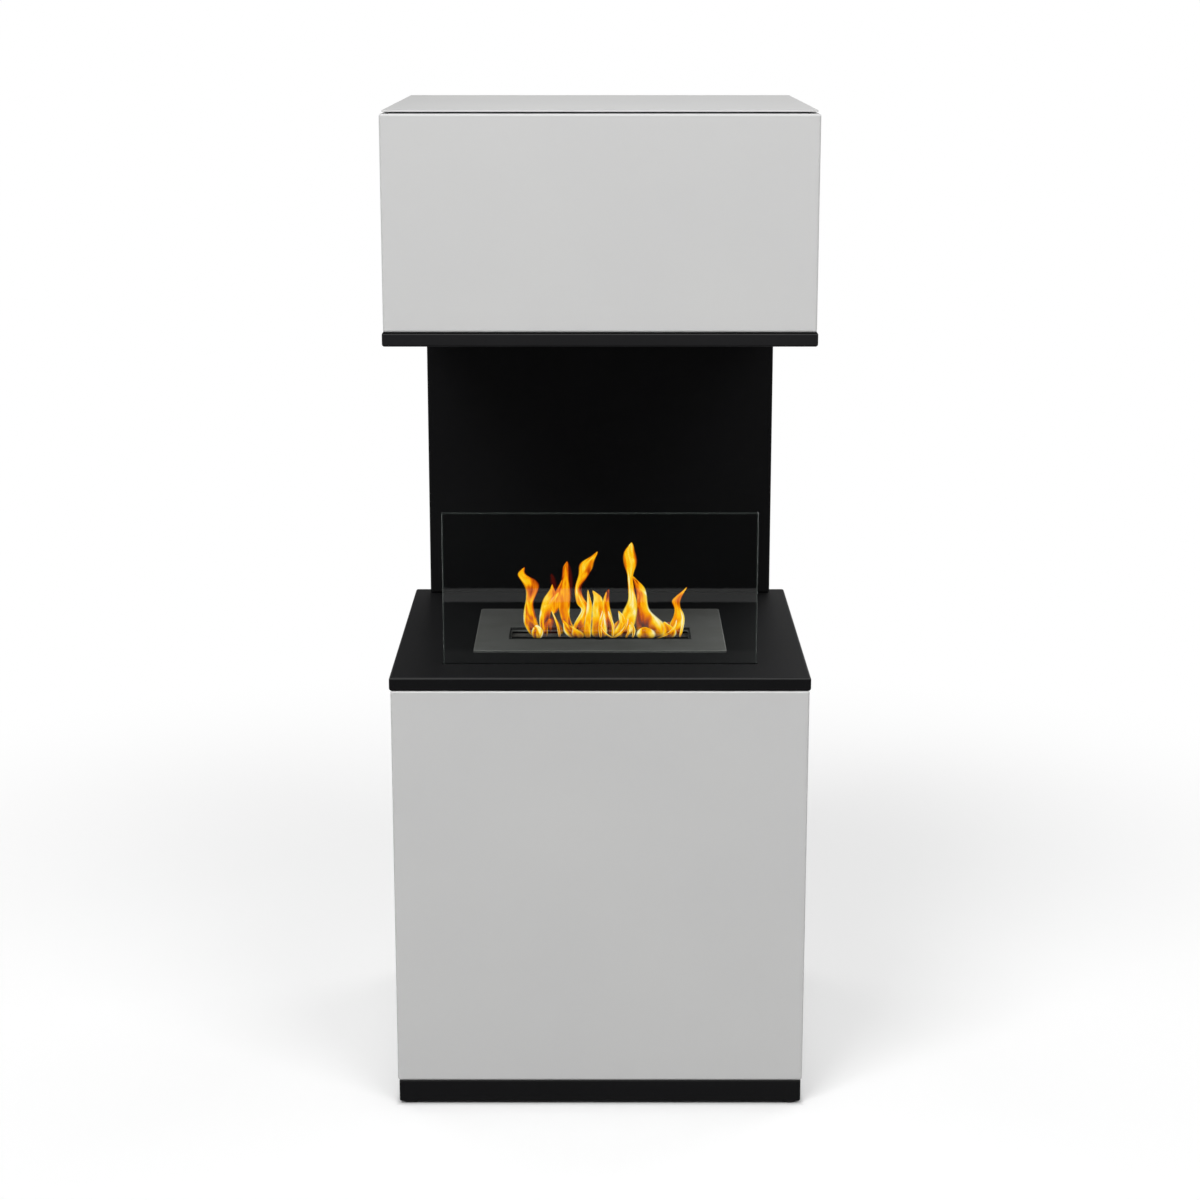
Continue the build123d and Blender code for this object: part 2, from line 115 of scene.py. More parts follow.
world = bpy.data.worlds.new("white_surroundings")
bpy.context.scene.world = world
tree = empty_tree(world)
lights = add(tree, "ShaderNodeBackground", {"Strength": world_light, "Color": linear("#FFFFFF")})
shows = add(tree, "ShaderNodeBackground", {"Strength": 1.0, "Color": linear("#FFFFFF")})
mixed = {0: seen_directly(tree), 1: lights.outputs[0], 2: shows.outputs[0]}
mixed = add(tree, "ShaderNodeMixShader", mixed)
add(tree, "ShaderNodeOutputWorld", {"Surface": mixed.outputs[0]})

floor_size = 24.0
floor_glow = 0.32                # lifts the painted floor to white, outside the shadow
dark_foot = (-4 * mm, 8 * mm)    # the glow starts here, measured out from the plinth
shadow_reach = (0.8, 1.9)        # the floor turns to plain white between these distances

deselect()
bpy.ops.mesh.primitive_plane_add(size=floor_size)
floor = bpy.context.object
floor.name = "studio_floor"
material = bpy.data.materials.new("matt_white_floor_paint")
tree = empty_tree(material)
paint = add(tree, "ShaderNodeBsdfDiffuse", {"Color": linear("#DEDEDE")})
spot = add(tree, "ShaderNodeTexCoord").outputs["Object"]
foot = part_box("plinth")[1]
outside = add(tree, "ShaderNodeVectorMath", {0: spot}, operation="ABSOLUTE").outputs[0]
outside = {0: outside, 1: (foot.x, foot.y, 0.0)}
outside = add(tree, "ShaderNodeVectorMath", outside, operation="SUBTRACT").outputs[0]
outside = add(tree, "ShaderNodeSeparateXYZ", {"Vector": outside}).outputs
outside = {0: outside["X"], 1: outside["Y"]}
outside = add(tree, "ShaderNodeMath", outside, operation="MAXIMUM").outputs[0]
level = {"Value": outside, "From Min": dark_foot[0], "From Max": dark_foot[1], "To Max": floor_glow}
level = add(tree, "ShaderNodeMapRange", level, interpolation_type="SMOOTHSTEP").outputs[0]
glow = add(tree, "ShaderNodeEmission", {"Strength": level, "Color": linear("#FFFFFF")})
near = add(tree, "ShaderNodeAddShader", {0: paint.outputs[0], 1: glow.outputs[0]})
far = add(tree, "ShaderNodeEmission", {"Strength": 1.0, "Color": linear("#FFFFFF")})
distance = add(tree, "ShaderNodeVectorMath", {0: spot}, operation="LENGTH").outputs["Value"]
fade = {"Value": distance, "From Min": shadow_reach[0], "From Max": shadow_reach[1]}
fade = add(tree, "ShaderNodeMapRange", fade, interpolation_type="SMOOTHSTEP").outputs[0]
shown = add(tree, "ShaderNodeMixShader", {0: fade, 1: near.outputs[0], 2: far.outputs[0]})
mixed = {0: seen_directly(tree), 1: paint.outputs[0], 2: shown.outputs[0]}
mixed = add(tree, "ShaderNodeMixShader", mixed)
add(tree, "ShaderNodeOutputMaterial", {"Surface": mixed.outputs[0]})
floor.data.materials.append(material)


# Studio card: black cloth laid on the floor before the object, with one grey strip across
# it. Only mirrored rays meet it. It keeps the glass clear, and the strip shows in the glass.


def only_mirrored(thing):
    """Hides a thing from all rays but mirrored ones."""
    thing.visible_camera = thing.visible_diffuse = False
    thing.visible_transmission = thing.visible_shadow = False


card_width = 6.0
card_reach = (-7.0, -0.5)        # front and back of the card along Y
strip_reach = (-2.878, -2.744)   # front and back of the grey strip along Y
strip_grey = 0.33
card_lift = 4 * mm

deselect()
bpy.ops.mesh.primitive_plane_add(size=1.0)
card = bpy.context.object
card.name = "studio_card"
bpy.ops.object.mode_set(mode="EDIT")
bpy.ops.mesh.select_all(action="SELECT")
bpy.ops.transform.resize(value=(card_width, card_reach[1] - card_reach[0], 1.0))
bpy.ops.transform.translate(value=(0.0, sum(card_reach) / 2, card_lift))
bpy.ops.object.mode_set(mode="OBJECT")
material = bpy.data.materials.new("black_cloth_with_grey_strip")
tree = empty_tree(material)
place = add(tree, "ShaderNodeTexCoord").outputs["Object"]
along = add(tree, "ShaderNodeSeparateXYZ", {"Vector": place}).outputs["Y"]
inside = {0: along, 1: sum(strip_reach) / 2, 2: (strip_reach[1] - strip_reach[0]) / 2}
inside = add(tree, "ShaderNodeMath", inside, operation="COMPARE").outputs[0]
level = add(tree, "ShaderNodeMath", {0: inside, 1: strip_grey}, operation="MULTIPLY").outputs[0]
cloth = add(tree, "ShaderNodeEmission", {"Strength": level})
add(tree, "ShaderNodeOutputMaterial", {"Surface": cloth.outputs[0]})
card.data.materials.append(material)
only_mirrored(card)


# Studio flag: dark grey cloth on a stand, behind the object on its left. Only mirrored rays
# meet it. It keeps the white surroundings out of the black plate and the steel on that side.

flag_across = (-3.2, -0.4)       # its left and right edge along X
flag_height = 3.0
flag_behind = 2.4                # how far behind the object's middle it stands
flag_grey = 0.15

deselect()
bpy.ops.mesh.primitive_plane_add(
    size=1.0,
    location=(sum(flag_across) / 2, flag_behind, flag_height / 2),
    rotation=(math.radians(90), 0.0, 0.0),
)
flag = bpy.context.object
flag.name = "studio_flag"
flag.scale = (flag_across[1] - flag_across[0], flag_height, 1.0)
material = bpy.data.materials.new("dark_grey_cloth")
tree = empty_tree(material)
cloth = add(tree, "ShaderNodeEmission", {"Strength": flag_grey})
add(tree, "ShaderNodeOutputMaterial", {"Surface": cloth.outputs[0]})
flag.data.materials.append(material)
only_mirrored(flag)


# Lamps and camera: four square softboxes, and a long lens at the photograph's angle.


def softbox(name, place, turn, size, power):
    """A square soft lamp; turn is its rotation from shining straight down."""
    deselect()
    bpy.ops.object.light_add(type="AREA", location=place, rotation=turn)
    lamp = bpy.context.object
    lamp.name = name
    lamp.data.shape = "SQUARE"
    lamp.data.size = size
    lamp.data.energy = power


softbox("key_softbox", (-1.5, -2.6, 3.6), (0.81, 0.0, -0.52), 1.8, 92.0)
softbox("fill_softbox", (1.7, -2.6, 3.2), (0.90, 0.0, 0.58), 1.8, 50.0)
softbox("rear_left_softbox", (-2.4, 2.3, 1.9), (-1.23, 0.0, 0.81), 2.2, 20.0)
softbox("rear_right_softbox", (2.4, 2.3, 1.9), (-1.23, 0.0, -0.81), 2.2, 30.0)

camera_place = (0.0, -3.100, 1.333)
camera_tilt = math.radians(76.49)

deselect()
bpy.ops.object.camera_add(location=camera_place, rotation=(camera_tilt, 0.0, 0.0))
camera = bpy.context.object
camera.data.lens = 75.0
camera.data.sensor_width = 36.0
bpy.context.scene.camera = camera
bpy.context.scene.view_settings.view_transform = "Standard"


# Plinth: a folded steel ring with a black fine-texture powder coat, baked on. The coat is
# nearly matt, with a fine pebbled skin that is drawn a little coarser than real, to show.


def dress(material, *names):
    """Gives CAD nodes a material in place of the plain one that they come with."""
    for name in names:
        frame["nodes"][name].material_slots[0].material = material


tone_drift = 180 * mm            # size of the patches in which the tone drifts
dull_spread = 0.06               # how much the roughness varies with the pebbles
# black of the painted shadow above a given height
painted_shadow_black = "#060606"

# How far up a face looks, and how much painted highlight it has: none on walls and tops.
bend_shares = ((0.15, 0.0), (0.55, 1.0), (0.85, 1.0))
top_from = 0.98


def powder_coat(name, tones, painted_highlight, roughness, gloss, pebble, painted_shadow_above=None):
    """Baked powder: a pebbled skin, a tone that drifts a little, and a painted highlight on
    upper bends. Above the given height, if there is one, a painted shadow keeps it black."""
    material = bpy.data.materials.new(name)
    tree = empty_tree(material)
    place = add(tree, "ShaderNodeTexCoord").outputs["Object"]
    drift = {"Vector": place, "Scale": 1 / tone_drift, "Detail": 1.0}
    drift = add(tree, "ShaderNodeTexNoise", drift).outputs[0]
    tone = {0: drift, 6: linear(tones[0]), 7: linear(tones[1])}
    tone = add(tree, "ShaderNodeMix", tone, data_type="RGBA").outputs[2]
    up = add(tree, "ShaderNodeNewGeometry").outputs["Normal"]
    up = add(tree, "ShaderNodeSeparateXYZ", {"Vector": up}).outputs["Z"]
    # Painted highlight: upper-facing bends get the lighter tone, by how far up they face.
    bend = add(tree, "ShaderNodeValToRGB", {"Fac": up})
    for slope, share in bend_shares:
        bend.color_ramp.elements.new(slope).color = (share, share, share, 1.0)
    bend.color_ramp.elements[-1].position = top_from
    bend.color_ramp.elements[-1].color = (0.0, 0.0, 0.0, 1.0)
    tone = {0: bend.outputs[0], 6: tone, 7: linear(painted_highlight)}
    tone = add(tree, "ShaderNodeMix", tone, data_type="RGBA").outputs[2]
    # Painted shadow: above the given height the tone is painted black.
    if painted_shadow_above is not None:
        above = add(tree, "ShaderNodeSeparateXYZ", {"Vector": place}).outputs["Z"]
        above = {0: above, 1: painted_shadow_above}
        above = add(tree, "ShaderNodeMath", above, operation="GREATER_THAN").outputs[0]
        tone = {0: above, 6: tone, 7: linear(painted_shadow_black)}
        tone = add(tree, "ShaderNodeMix", tone, data_type="RGBA").outputs[2]
    skin = {"Vector": place, "Scale": 1 / pebble, "Detail": 2.0, "Roughness": 0.6}
    skin = add(tree, "ShaderNodeTexNoise", skin).outputs[0]
    dull = {"Value": skin, "To Min": roughness - dull_spread, "To Max": roughness + dull_spread}
    dull = add(tree, "ShaderNodeMapRange", dull).outputs[0]
    bump = {"Height": skin, "Strength": 0.35, "Distance": 0.06 * mm}
    bump = add(tree, "ShaderNodeBump", bump).outputs[0]
    coat = {"Base Color": tone, "Roughness": dull, "Specular IOR Level": gloss, "Normal": bump}
    coat = add(tree, "ShaderNodeBsdfPrincipled", coat)
    add(tree, "ShaderNodeOutputMaterial", {"Surface": coat.outputs[0]})
    return material


black_tones = ("#101011", "#151516")
black_finish = {"roughness": 0.60, "gloss": 0.045, "pebble": 1.6 * mm}
# 393939 is the painted highlight on the black coat's upper bends.
black_coat = powder_coat("black_powder_coat", black_tones, "#393939", **black_finish)
dress(black_coat, "plinth")


# Glides: black rubber pads pressed into the plinth's lower lip. Moulded rubber is matt, and
# takes a fine dust that greys it unevenly.

dust_grain = 3 * mm

material = bpy.data.materials.new("moulded_rubber")
tree = empty_tree(material)
place = add(tree, "ShaderNodeTexCoord").outputs["Object"]
dust = {"Vector": place, "Scale": 1 / dust_grain, "Detail": 4.0}
dust = add(tree, "ShaderNodeTexNoise", dust).outputs[0]
tone = {0: dust, 6: linear("#151515"), 7: linear("#2A2928")}
tone = add(tree, "ShaderNodeMix", tone, data_type="RGBA").outputs[2]
bump = {"Height": dust, "Strength": 0.3, "Distance": 0.1 * mm}
bump = add(tree, "ShaderNodeBump", bump).outputs[0]
rubber = {"Base Color": tone, "Roughness": 0.8, "Normal": bump}
rubber = add(tree, "ShaderNodeBsdfPrincipled", rubber)
add(tree, "ShaderNodeOutputMaterial", {"Surface": rubber.outputs[0]})
dress(material, "glide_feet")


# Frame and floor inside the cabinet and the hood: bent angles, tubes and sheets of hot-dip
# zinc-coated steel. Zinc cools into flat crystals about a centimetre wide, the spangle.

spangle = 9 * mm
zinc_frost = 1 * mm


def zinc_coat(name, tones):
    """Zinc on steel: each crystal has its own tone and gloss, under a fine frost."""
    material = bpy.data.materials.new(name)
    tree = empty_tree(material)
    place = add(tree, "ShaderNodeTexCoord").outputs["Object"]
    crystal = {"Vector": place, "Scale": 1 / spangle, "Randomness": 1.0}
    crystal = add(tree, "ShaderNodeTexVoronoi", crystal).outputs["Color"]
    crystal = add(tree, "ShaderNodeSeparateColor", {0: crystal}).outputs[0]
    tone = {0: crystal, 6: linear(tones[0]), 7: linear(tones[1])}
    tone = add(tree, "ShaderNodeMix", tone, data_type="RGBA").outputs[2]
    dull = {"Value": crystal, "To Min": 0.34, "To Max": 0.52}
    dull = add(tree, "ShaderNodeMapRange", dull).outputs[0]
    frost = {"Vector": place, "Scale": 1 / zinc_frost, "Detail": 3.0}
    frost = add(tree, "ShaderNodeTexNoise", frost).outputs[0]
    bump = {"Height": frost, "Strength": 0.2, "Distance": 0.05 * mm}
    bump = add(tree, "ShaderNodeBump", bump).outputs[0]
    zinc = {"Base Color": tone, "Metallic": 1.0, "Roughness": dull, "Normal": bump}
    zinc = add(tree, "ShaderNodeBsdfPrincipled", zinc)
    add(tree, "ShaderNodeOutputMaterial", {"Surface": zinc.outputs[0]})
    return material


bright_zinc = zinc_coat("hot_dip_zinc", ("#83878B", "#A6AAAD"))
dress(bright_zinc, "cabinet_floor", "cabinet_front_brackets", "hood_front_brackets")
dress(bright_zinc, "glass_channel", "spill_tray")
for side in ("left", "right"):
    for end in ("front", "rear"):
        dress(bright_zinc, f"cabinet_post_{end}_{side}", f"hood_post_{end}_{side}")


# Uprights and hood arms: rectangular tubes. Their zinc is blackened in a chromate bath,
# because a little of it shows at the column's foot and head.

black_zinc = zinc_coat("black_chromate_zinc", ("#161718", "#202122"))
for side in ("left", "right"):
    dress(black_zinc, f"upright_{side}", f"hood_arm_{side}")


# Cabinet casings and rear cover: sheet steel folded on four sides, with a pale grey powder
# coat. The coat is satin and a little softer in skin than the black one. Its upper bends
# carry a brighter painted highlight than the hood's, which makes up for the light that the
# hearth plate keeps off them.

pale_tones = ("#C3C3C3", "#C7C7C6")
pale_finish = {"roughness": 0.55, "gloss": 0.10, "pebble": 2.4 * mm}
# F4F4F4 is the painted highlight on the cabinet's upper bends.
cabinet_coat = powder_coat("pale_powder_coat_cabinet_painted_highlight", pale_tones, "#F4F4F4", **pale_finish)
dress(cabinet_coat, "cabinet_front", "cabinet_left", "cabinet_right", "cabinet_rear_cover")


# Hearth plate and back column: folded sheets with the same black coat as the plinth. The
# column's skin stands on the plate, and its fold makes the dark line at its foot.

dress(black_coat, "hearth_plate", "column_skin", "column_cover")


# Spacer, and the strip that the glass stands on: matt black silicone, extruded.

bloom_patch = 6 * mm             # size of the greyer patches

material = bpy.data.materials.new("extruded_silicone")
tree = empty_tree(material)
place = add(tree, "ShaderNodeTexCoord").outputs["Object"]
bloom = {"Vector": place, "Scale": 1 / bloom_patch, "Detail": 3.0}
bloom = add(tree, "ShaderNodeTexNoise", bloom).outputs[0]
tone = {0: bloom, 6: linear("#101010"), 7: linear("#1C1C1C")}
tone = add(tree, "ShaderNodeMix", tone, data_type="RGBA").outputs[2]
dull = {"Value": bloom, "To Min": 0.6, "To Max": 0.8}
dull = add(tree, "ShaderNodeMapRange", dull).outputs[0]
silicone = {"Base Color": tone, "Roughness": dull, "Specular IOR Level": 0.3}
silicone = add(tree, "ShaderNodeBsdfPrincipled", silicone)
add(tree, "ShaderNodeOutputMaterial", {"Surface": silicone.outputs[0]})
dress(material, "glass_gasket", "top_spacer")


# Glass: one toughened pane, 5 mm thick, that stands in its channel. It is clear and mirrors
# by Fresnel's law; its edges and the narrow band beside them are ground, and look frosted.

ground_band = 1.5 * mm
ground_share = 0.05              # how solid the ground band looks
glass_ior = 1.5

pane_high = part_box("glass_pane")[1]

material = bpy.data.materials.new("toughened_float_glass")
tree = empty_tree(material)
place = add(tree, "ShaderNodeTexCoord").outputs["Object"]
parts = add(tree, "ShaderNodeSeparateXYZ", {"Vector": place}).outputs
across = add(tree, "ShaderNodeMath", {0: parts["X"]}, operation="ABSOLUTE").outputs[0]
at_side = {0: across, 1: pane_high.x - ground_band}
at_side = add(tree, "ShaderNodeMath", at_side, operation="GREATER_THAN").outputs[0]
at_top = {0: parts["Z"], 1: pane_high.z - ground_band}
at_top = add(tree, "ShaderNodeMath", at_top, operation="GREATER_THAN").outputs[0]
ground = add(tree, "ShaderNodeMath", {0: at_side, 1: at_top}, operation="MAXIMUM").outputs[0]
ground = add(tree, "ShaderNodeMath", {0: ground, 1: ground_share}, operation="MULTIPLY").outputs[0]
inner = add(tree, "ShaderNodeNewGeometry").outputs["Backfacing"]
index = {0: inner, 2: glass_ior, 3: 1 / glass_ior}
index = add(tree, "ShaderNodeMix", index, data_type="FLOAT").outputs[0]
mirror_share = add(tree, "ShaderNodeFresnel", {"IOR": index}).outputs[0]
clear = add(tree, "ShaderNodeBsdfTransparent", {"Color": linear("#FAFCFB")})
mirror = add(tree, "ShaderNodeBsdfAnisotropic", {"Roughness": 0.0, "Color": linear("#FFFFFF")})
pane = {0: mirror_share, 1: clear.outputs[0], 2: mirror.outputs[0]}
pane = add(tree, "ShaderNodeMixShader", pane)
frost = {"Base Color": linear("#8A9791"), "Roughness": 0.6}
frost = add(tree, "ShaderNodeBsdfPrincipled", frost)
pane = add(tree, "ShaderNodeMixShader", {0: ground, 1: pane.outputs[0], 2: frost.outputs[0]})
add(tree, "ShaderNodeOutputMaterial", {"Surface": pane.outputs[0]})
dress(material, "glass_pane")


# Burner: a box and top plate of stainless steel, with the sliding lid in its guides. The
# plate is brushed along its length, which leaves fine parallel lines, drawn 0.8 mm apart.

brush_gap = 0.8 * mm
brush_length = 45 * mm
stain_patch = 55 * mm
plate_skin = 0.2 * mm            # depth of the brushed faces, beside the cut edge
slot_reach = ((-113.5 * mm, -52 * mm), (113.5 * mm, 3 * mm))       # two corners in X and Y
painted_shade_margins = ((-1.3 * mm, -4.0 * mm), (1.3 * mm, 1.3 * mm))     # painted shade past each corner

material = bpy.data.materials.new("brushed_stainless_steel")
tree = empty_tree(material)
place = add(tree, "ShaderNodeTexCoord").outputs["Object"]
lines = {"Vector": place, "Scale": (1 / brush_length, 1 / brush_gap, 1 / brush_gap)}
lines = add(tree, "ShaderNodeMapping", lines).outputs[0]
lines = add(tree, "ShaderNodeTexNoise", {"Vector": lines, "Scale": 1.0, "Detail": 3.0}).outputs[0]
shade = {0: lines, 6: linear("#7C7C7B"), 7: linear("#ACACAA")}
shade = add(tree, "ShaderNodeMix", shade, data_type="RGBA").outputs[2]
stain = {"Vector": place, "Scale": 1 / stain_patch, "Detail": 2.0}
stain = add(tree, "ShaderNodeTexNoise", stain).outputs[0]
stain = {0: stain, 6: linear("#FFFFFF"), 7: linear("#DCDAD6")}
stain = add(tree, "ShaderNodeMix", stain, data_type="RGBA").outputs[2]
shade = {0: 1.0, 6: shade, 7: stain}
shade = add(tree, "ShaderNodeMix", shade, data_type="RGBA", blend_type="MULTIPLY").outputs[2]

# The plate's cut edges are painted a darker grey, a painted shade that dims their lit
# rim. The slot's edge and a line around it are painted black as painted shade, and that
# hides the metal there.
face_low, face_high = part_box("burner_top")
axes = add(tree, "ShaderNodeSeparateXYZ", {"Vector": place}).outputs
middle_z, half_sheet = (face_low.z + face_high.z) / 2, (face_high.z - face_low.z) / 2
# Painted shade: the cut edges get a darker grey that dims their lit rim.
cut = {0: axes["Z"], 1: middle_z, 2: half_sheet - plate_skin}
cut = add(tree, "ShaderNodeMath", cut, operation="COMPARE").outputs[0]
shade = {0: cut, 6: shade, 7: linear("#5E5E5D")}
shade = add(tree, "ShaderNodeMix", shade, data_type="RGBA").outputs[2]
# Painted shade: the slot's rim and a line around it are painted black and not metal.
painted_slot_shade = {0: axes["Z"], 1: face_low.z}
painted_slot_shade = add(tree, "ShaderNodeMath", painted_slot_shade, operation="GREATER_THAN").outputs[0]
for i, axis in enumerate("XY"):
    low, high = (slot_reach[k][i] + painted_shade_margins[k][i] for k in (0, 1))
    within = {0: axes[axis], 1: (low + high) / 2, 2: (high - low) / 2}
    within = add(tree, "ShaderNodeMath", within, operation="COMPARE").outputs[0]
    painted_slot_shade = add(tree, "ShaderNodeMath", {0: painted_slot_shade, 1: within}, operation="MULTIPLY").outputs[0]
shade = {0: painted_slot_shade, 6: shade, 7: linear("#0A0A09")}
shade = add(tree, "ShaderNodeMix", shade, data_type="RGBA").outputs[2]
dull = {"Value": lines, "To Min": 0.46, "To Max": 0.62}
dull = add(tree, "ShaderNodeMapRange", dull).outputs[0]
bump = {"Height": lines, "Strength": 0.25, "Distance": 0.03 * mm}
bump = add(tree, "ShaderNodeBump", bump).outputs[0]
bare = add(tree, "ShaderNodeMath", {0: 1.0, 1: painted_slot_shade}, operation="SUBTRACT").outputs[0]
steel = {"Base Color": shade, "Metallic": bare, "Roughness": dull, "Normal": bump}
steel = add(tree, "ShaderNodeBsdfPrincipled", steel)
add(tree, "ShaderNodeOutputMaterial", {"Surface": steel.outputs[0]})
dress(material, "burner_top", "burner_box", "burner_slider", "slider_rails")


# Fuel pad: four strips of ceramic fibre, cut from felt and pressed side by side into the
# box, where they soak up the ethanol. Felt is soft-edged and lumpy, and greys with soot.

strips = 4
strip_gap = 0.4 * mm
strip_round = 4 * mm             # worn long edges
felt_step = 2.2 * mm             # size of the felt's own mesh
felt_lumps = 7 * mm
felt_swell = 0.9 * mm
fibre_size = 1.2 * mm
soot_patch = 24 * mm
shade_and_scorch_to = (-17 * mm, -12 * mm)  # the pad's front is painted black to here: painted shade behind the slot's front lip, and scorch under the flames

pad_low, pad_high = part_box("fuel_pad")
pad_size = pad_high - pad_low
strip_depth = pad_size.y / strips
lumps = bpy.data.textures.new("felt_lumps", "CLOUDS")
lumps.noise_scale = felt_lumps

for i in range(strips):
    deselect()
    middle_y = pad_low.y + strip_depth * (i + 0.5)
    bpy.ops.mesh.primitive_cube_add(size=1.0, location=(0, middle_y, (pad_low.z + pad_high.z) / 2))
    strip = bpy.context.object
    strip.name = f"felt_strip_{i}"
    bpy.ops.object.mode_set(mode="EDIT")
    bpy.ops.mesh.select_all(action="SELECT")
    size = (pad_size.x - 2 * strip_gap, strip_depth - strip_gap, pad_size.z - felt_swell)
    bpy.ops.transform.resize(value=size)
    bpy.ops.mesh.bevel(offset=strip_round, offset_pct=0, segments=4, affect="EDGES")
    bpy.ops.object.mode_set(mode="OBJECT")
    remesh = strip.modifiers.new("even_mesh", "REMESH")
    remesh.mode = "VOXEL"
    remesh.voxel_size = felt_step
    swell = strip.modifiers.new("lumps", "DISPLACE")
    swell.texture = lumps
    swell.texture_coords = "GLOBAL"
    swell.strength = felt_swell
    bpy.ops.object.modifier_apply(modifier=remesh.name)
    bpy.ops.object.modifier_apply(modifier=swell.name)
    bpy.ops.object.transform_apply(location=True, rotation=True, scale=True)
    bpy.ops.object.shade_smooth()

deselect()
for i in range(strips):
    bpy.data.objects[f"felt_strip_{i}"].select_set(True)
bpy.context.view_layer.objects.active = bpy.data.objects["felt_strip_0"]
bpy.ops.object.join()
pad = bpy.context.object
pad.name = "fibre_pad"

material = bpy.data.materials.new("ceramic_fibre_felt")
tree = empty_tree(material)
place = add(tree, "ShaderNodeTexCoord").outputs["Object"]
fibres = {"Vector": place, "Scale": 1 / fibre_size, "Detail": 5.0, "Distortion": 2.5}
fibres = add(tree, "ShaderNodeTexNoise", fibres).outputs[0]
soot = {"Vector": place, "Scale": 1 / soot_patch, "Detail": 3.0}
soot = add(tree, "ShaderNodeTexNoise", soot).outputs[0]
soot = {"Value": soot, "From Min": 0.35, "From Max": 0.65}
soot = add(tree, "ShaderNodeMapRange", soot).outputs[0]
tone = {0: fibres, 6: linear("#403E3C"), 7: linear("#6C6965")}
tone = add(tree, "ShaderNodeMix", tone, data_type="RGBA").outputs[2]
tone = {0: soot, 6: tone, 7: linear("#353331")}
tone = add(tree, "ShaderNodeMix", tone, data_type="RGBA").outputs[2]
along = add(tree, "ShaderNodeSeparateXYZ", {"Vector": place}).outputs["Y"]
# Painted shade behind the slot's front lip, with scorch under the flames: the pad's front is black.
shade_and_scorch = {"Value": along, "From Min": shade_and_scorch_to[0], "From Max": shade_and_scorch_to[1]}
shade_and_scorch = {**shade_and_scorch, "To Min": 1.0, "To Max": 0.0}
shade_and_scorch = add(tree, "ShaderNodeMapRange", shade_and_scorch, interpolation_type="SMOOTHSTEP").outputs[0]
tone = {0: shade_and_scorch, 6: tone, 7: linear("#070706")}
tone = add(tree, "ShaderNodeMix", tone, data_type="RGBA").outputs[2]
bump = {"Height": fibres, "Strength": 0.8, "Distance": 0.5 * mm}
bump = add(tree, "ShaderNodeBump", bump).outputs[0]
felt = {"Base Color": tone, "Roughness": 0.95, "Specular IOR Level": 0.1, "Normal": bump}
felt = add(tree, "ShaderNodeBsdfPrincipled", felt)
add(tree, "ShaderNodeOutputMaterial", {"Surface": felt.outputs[0]})
pad.data.materials.clear()
pad.data.materials.append(material)
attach(pad, "burner")
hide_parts("fuel_pad")
dress(material, "heat_board")


# Flames: burning ethanol vapour, in flat tongues that rise from the slot and lick together
# at their feet. Hot vapour glows pale yellow and cooler vapour orange to red; a tongue is
# hotter on one side, and see-through and streaky at its foot.
# Each has its place along Y, its warmth at the left and the right side, and its rings from
# the foot up: place to the right, height above the burner plate, and width, all in mm.

plate_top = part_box("burner_top")[1].z
tongue_sides = 16
tongue_depth = 0.42              # depth of a tongue as a share of its width
sway = 3.0                       # how far a tongue waves to the front and back, in mm
sway_length = 21.0
tip_fade = 0.90                  # a tip is as faint as this far out across a tongue

